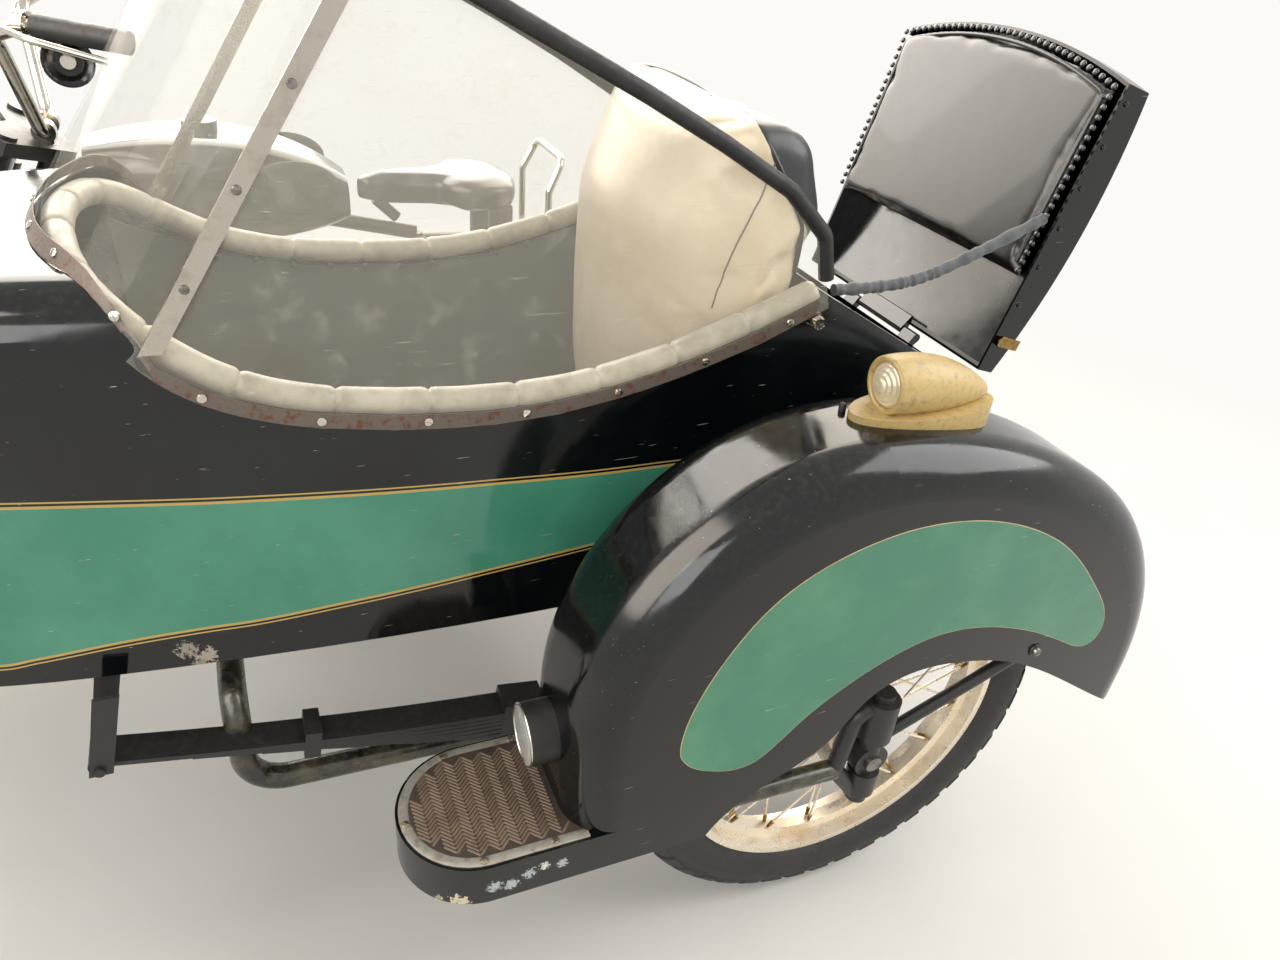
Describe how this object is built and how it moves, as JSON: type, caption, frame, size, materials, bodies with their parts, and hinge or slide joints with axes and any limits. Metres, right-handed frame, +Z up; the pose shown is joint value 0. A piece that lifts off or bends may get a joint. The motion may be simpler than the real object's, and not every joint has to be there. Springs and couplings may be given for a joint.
{
  "type": "sidecar motorcycle",
  "caption": "Vintage motorcycle with a boat-shaped passenger sidecar on its left: wrap-round screen, open luggage lid, big round mudguard and leaf springs",
  "frame": {"origin": "on the floor, in the middle of the outfit's length and width", "axes": "+X forward along the road, +Y to the left towards the sidecar, +Z up"},
  "size_m": [2.115, 1.5806, 1.3143],
  "materials": {
    "black_paint": "deep gloss black, chipped and scratched",
    "frame_paint": "worn satin black",
    "wheel_metal": "dull plated rims and spokes",
    "tyre_rubber": "worn black rubber",
    "steel": "plain steel",
    "bright_metal": "plated steel with light pitting",
    "engine_alloy": "cast alloy, oily",
    "barrel_iron": "black cast iron",
    "rubber": "black and brown rubber",
    "leather": "black padded leathercloth with stitching",
    "strap_cloth": "grey gathered cloth over a cord",
    "clear_screen": "clear sheet, scratched and slightly yellow",
    "lamp_lens": "ribbed clear lens",
    "lamp_cream": "cream paint, worn and stained",
    "reflector_cup": "black cup"
  },
  "bodies": {
    "chassis": {"bike_frame": "black_paint", "carburettor": "engine_alloy", "chain_guard": "black_paint", "cockpit_coaming": "leather", "cylinder": "barrel_iron", "cylinder_head": "engine_alloy", "drive_chain": "steel", "engine_case": "engine_alloy", "exhaust": "bright_metal", "footboard": "black_paint", "footboard_mat": "rubber", "frame_cradle": "black_paint", "frame_stays": "black_paint", "fuel_tank": "black_paint", "grab_handle": "bright_metal", "leaf_springs": "frame_paint", "lid_strap": "strap_cloth", "marker_lamp": "lamp_cream", "marker_lens": "lamp_lens", "number_plate": "black_paint", "oil_tank": "black_paint", "rear_axle": "steel", "rear_mudguard": "black_paint", "reflector": "reflector_cup", "saddle": "leather", "saddle_springs": "frame_paint", "screen_rail": "frame_paint", "screen_ribs": "bright_metal", "seat_back": "leather", "seat_cushion": "leather", "sidecar_axle": "steel", "sidecar_body": "black_paint", "sidecar_frame": "frame_paint", "sidecar_mudguard": "black_paint", "sidecar_struts": "frame_paint", "spring_shackles": "frame_paint", "tail_lamp": "black_paint", "wheel_support": "frame_paint", "windscreen": "clear_screen"},
    "front_road_wheel": {"front_tyre": "tyre_rubber", "front_wheel": "wheel_metal"},
    "rear_road_wheel": {"rear_tyre": "tyre_rubber", "rear_wheel": "wheel_metal"},
    "sidecar_road_wheel": {"sidecar_tyre": "tyre_rubber", "sidecar_wheel": "wheel_metal"},
    "lid": {"luggage_lid": "black_paint", "lid_pad": "leather"},
    "steering": {"front_fork": "black_paint", "handlebar": "bright_metal", "grips": "rubber", "levers": "bright_metal", "headlamp": "black_paint", "front_mudguard": "black_paint", "front_axle": "steel"}
  },
  "joints": [
    {"name": "steering_head", "type": "hinge", "parent": "chassis", "child": "steering", "pos_m": [0.39469, -0.44, 0.82], "axis": [-0.454, 0, 0.891], "range_deg": [-30, 30]},
    {"name": "front_wheel_spin", "type": "hinge", "parent": "steering", "child": "front_road_wheel", "pos_m": [0.7275, -0.44, 0.33], "axis": [0, 1, 0], "continuous": true},
    {"name": "rear_wheel_spin", "type": "hinge", "parent": "chassis", "child": "rear_road_wheel", "pos_m": [-0.6725, -0.44, 0.33], "axis": [0, 1, 0], "continuous": true},
    {"name": "sidecar_wheel_spin", "type": "hinge", "parent": "chassis", "child": "sidecar_road_wheel", "pos_m": [-0.5825, 0.69, 0.33], "axis": [0, 1, 0], "continuous": true},
    {"name": "lid_hinge", "type": "hinge", "parent": "chassis", "child": "lid", "pos_m": [-0.8485, 0.265, 0.751], "axis": [0, 1, 0], "range_deg": [0, 52], "deforming": ["lid_strap"]}
  ]
}
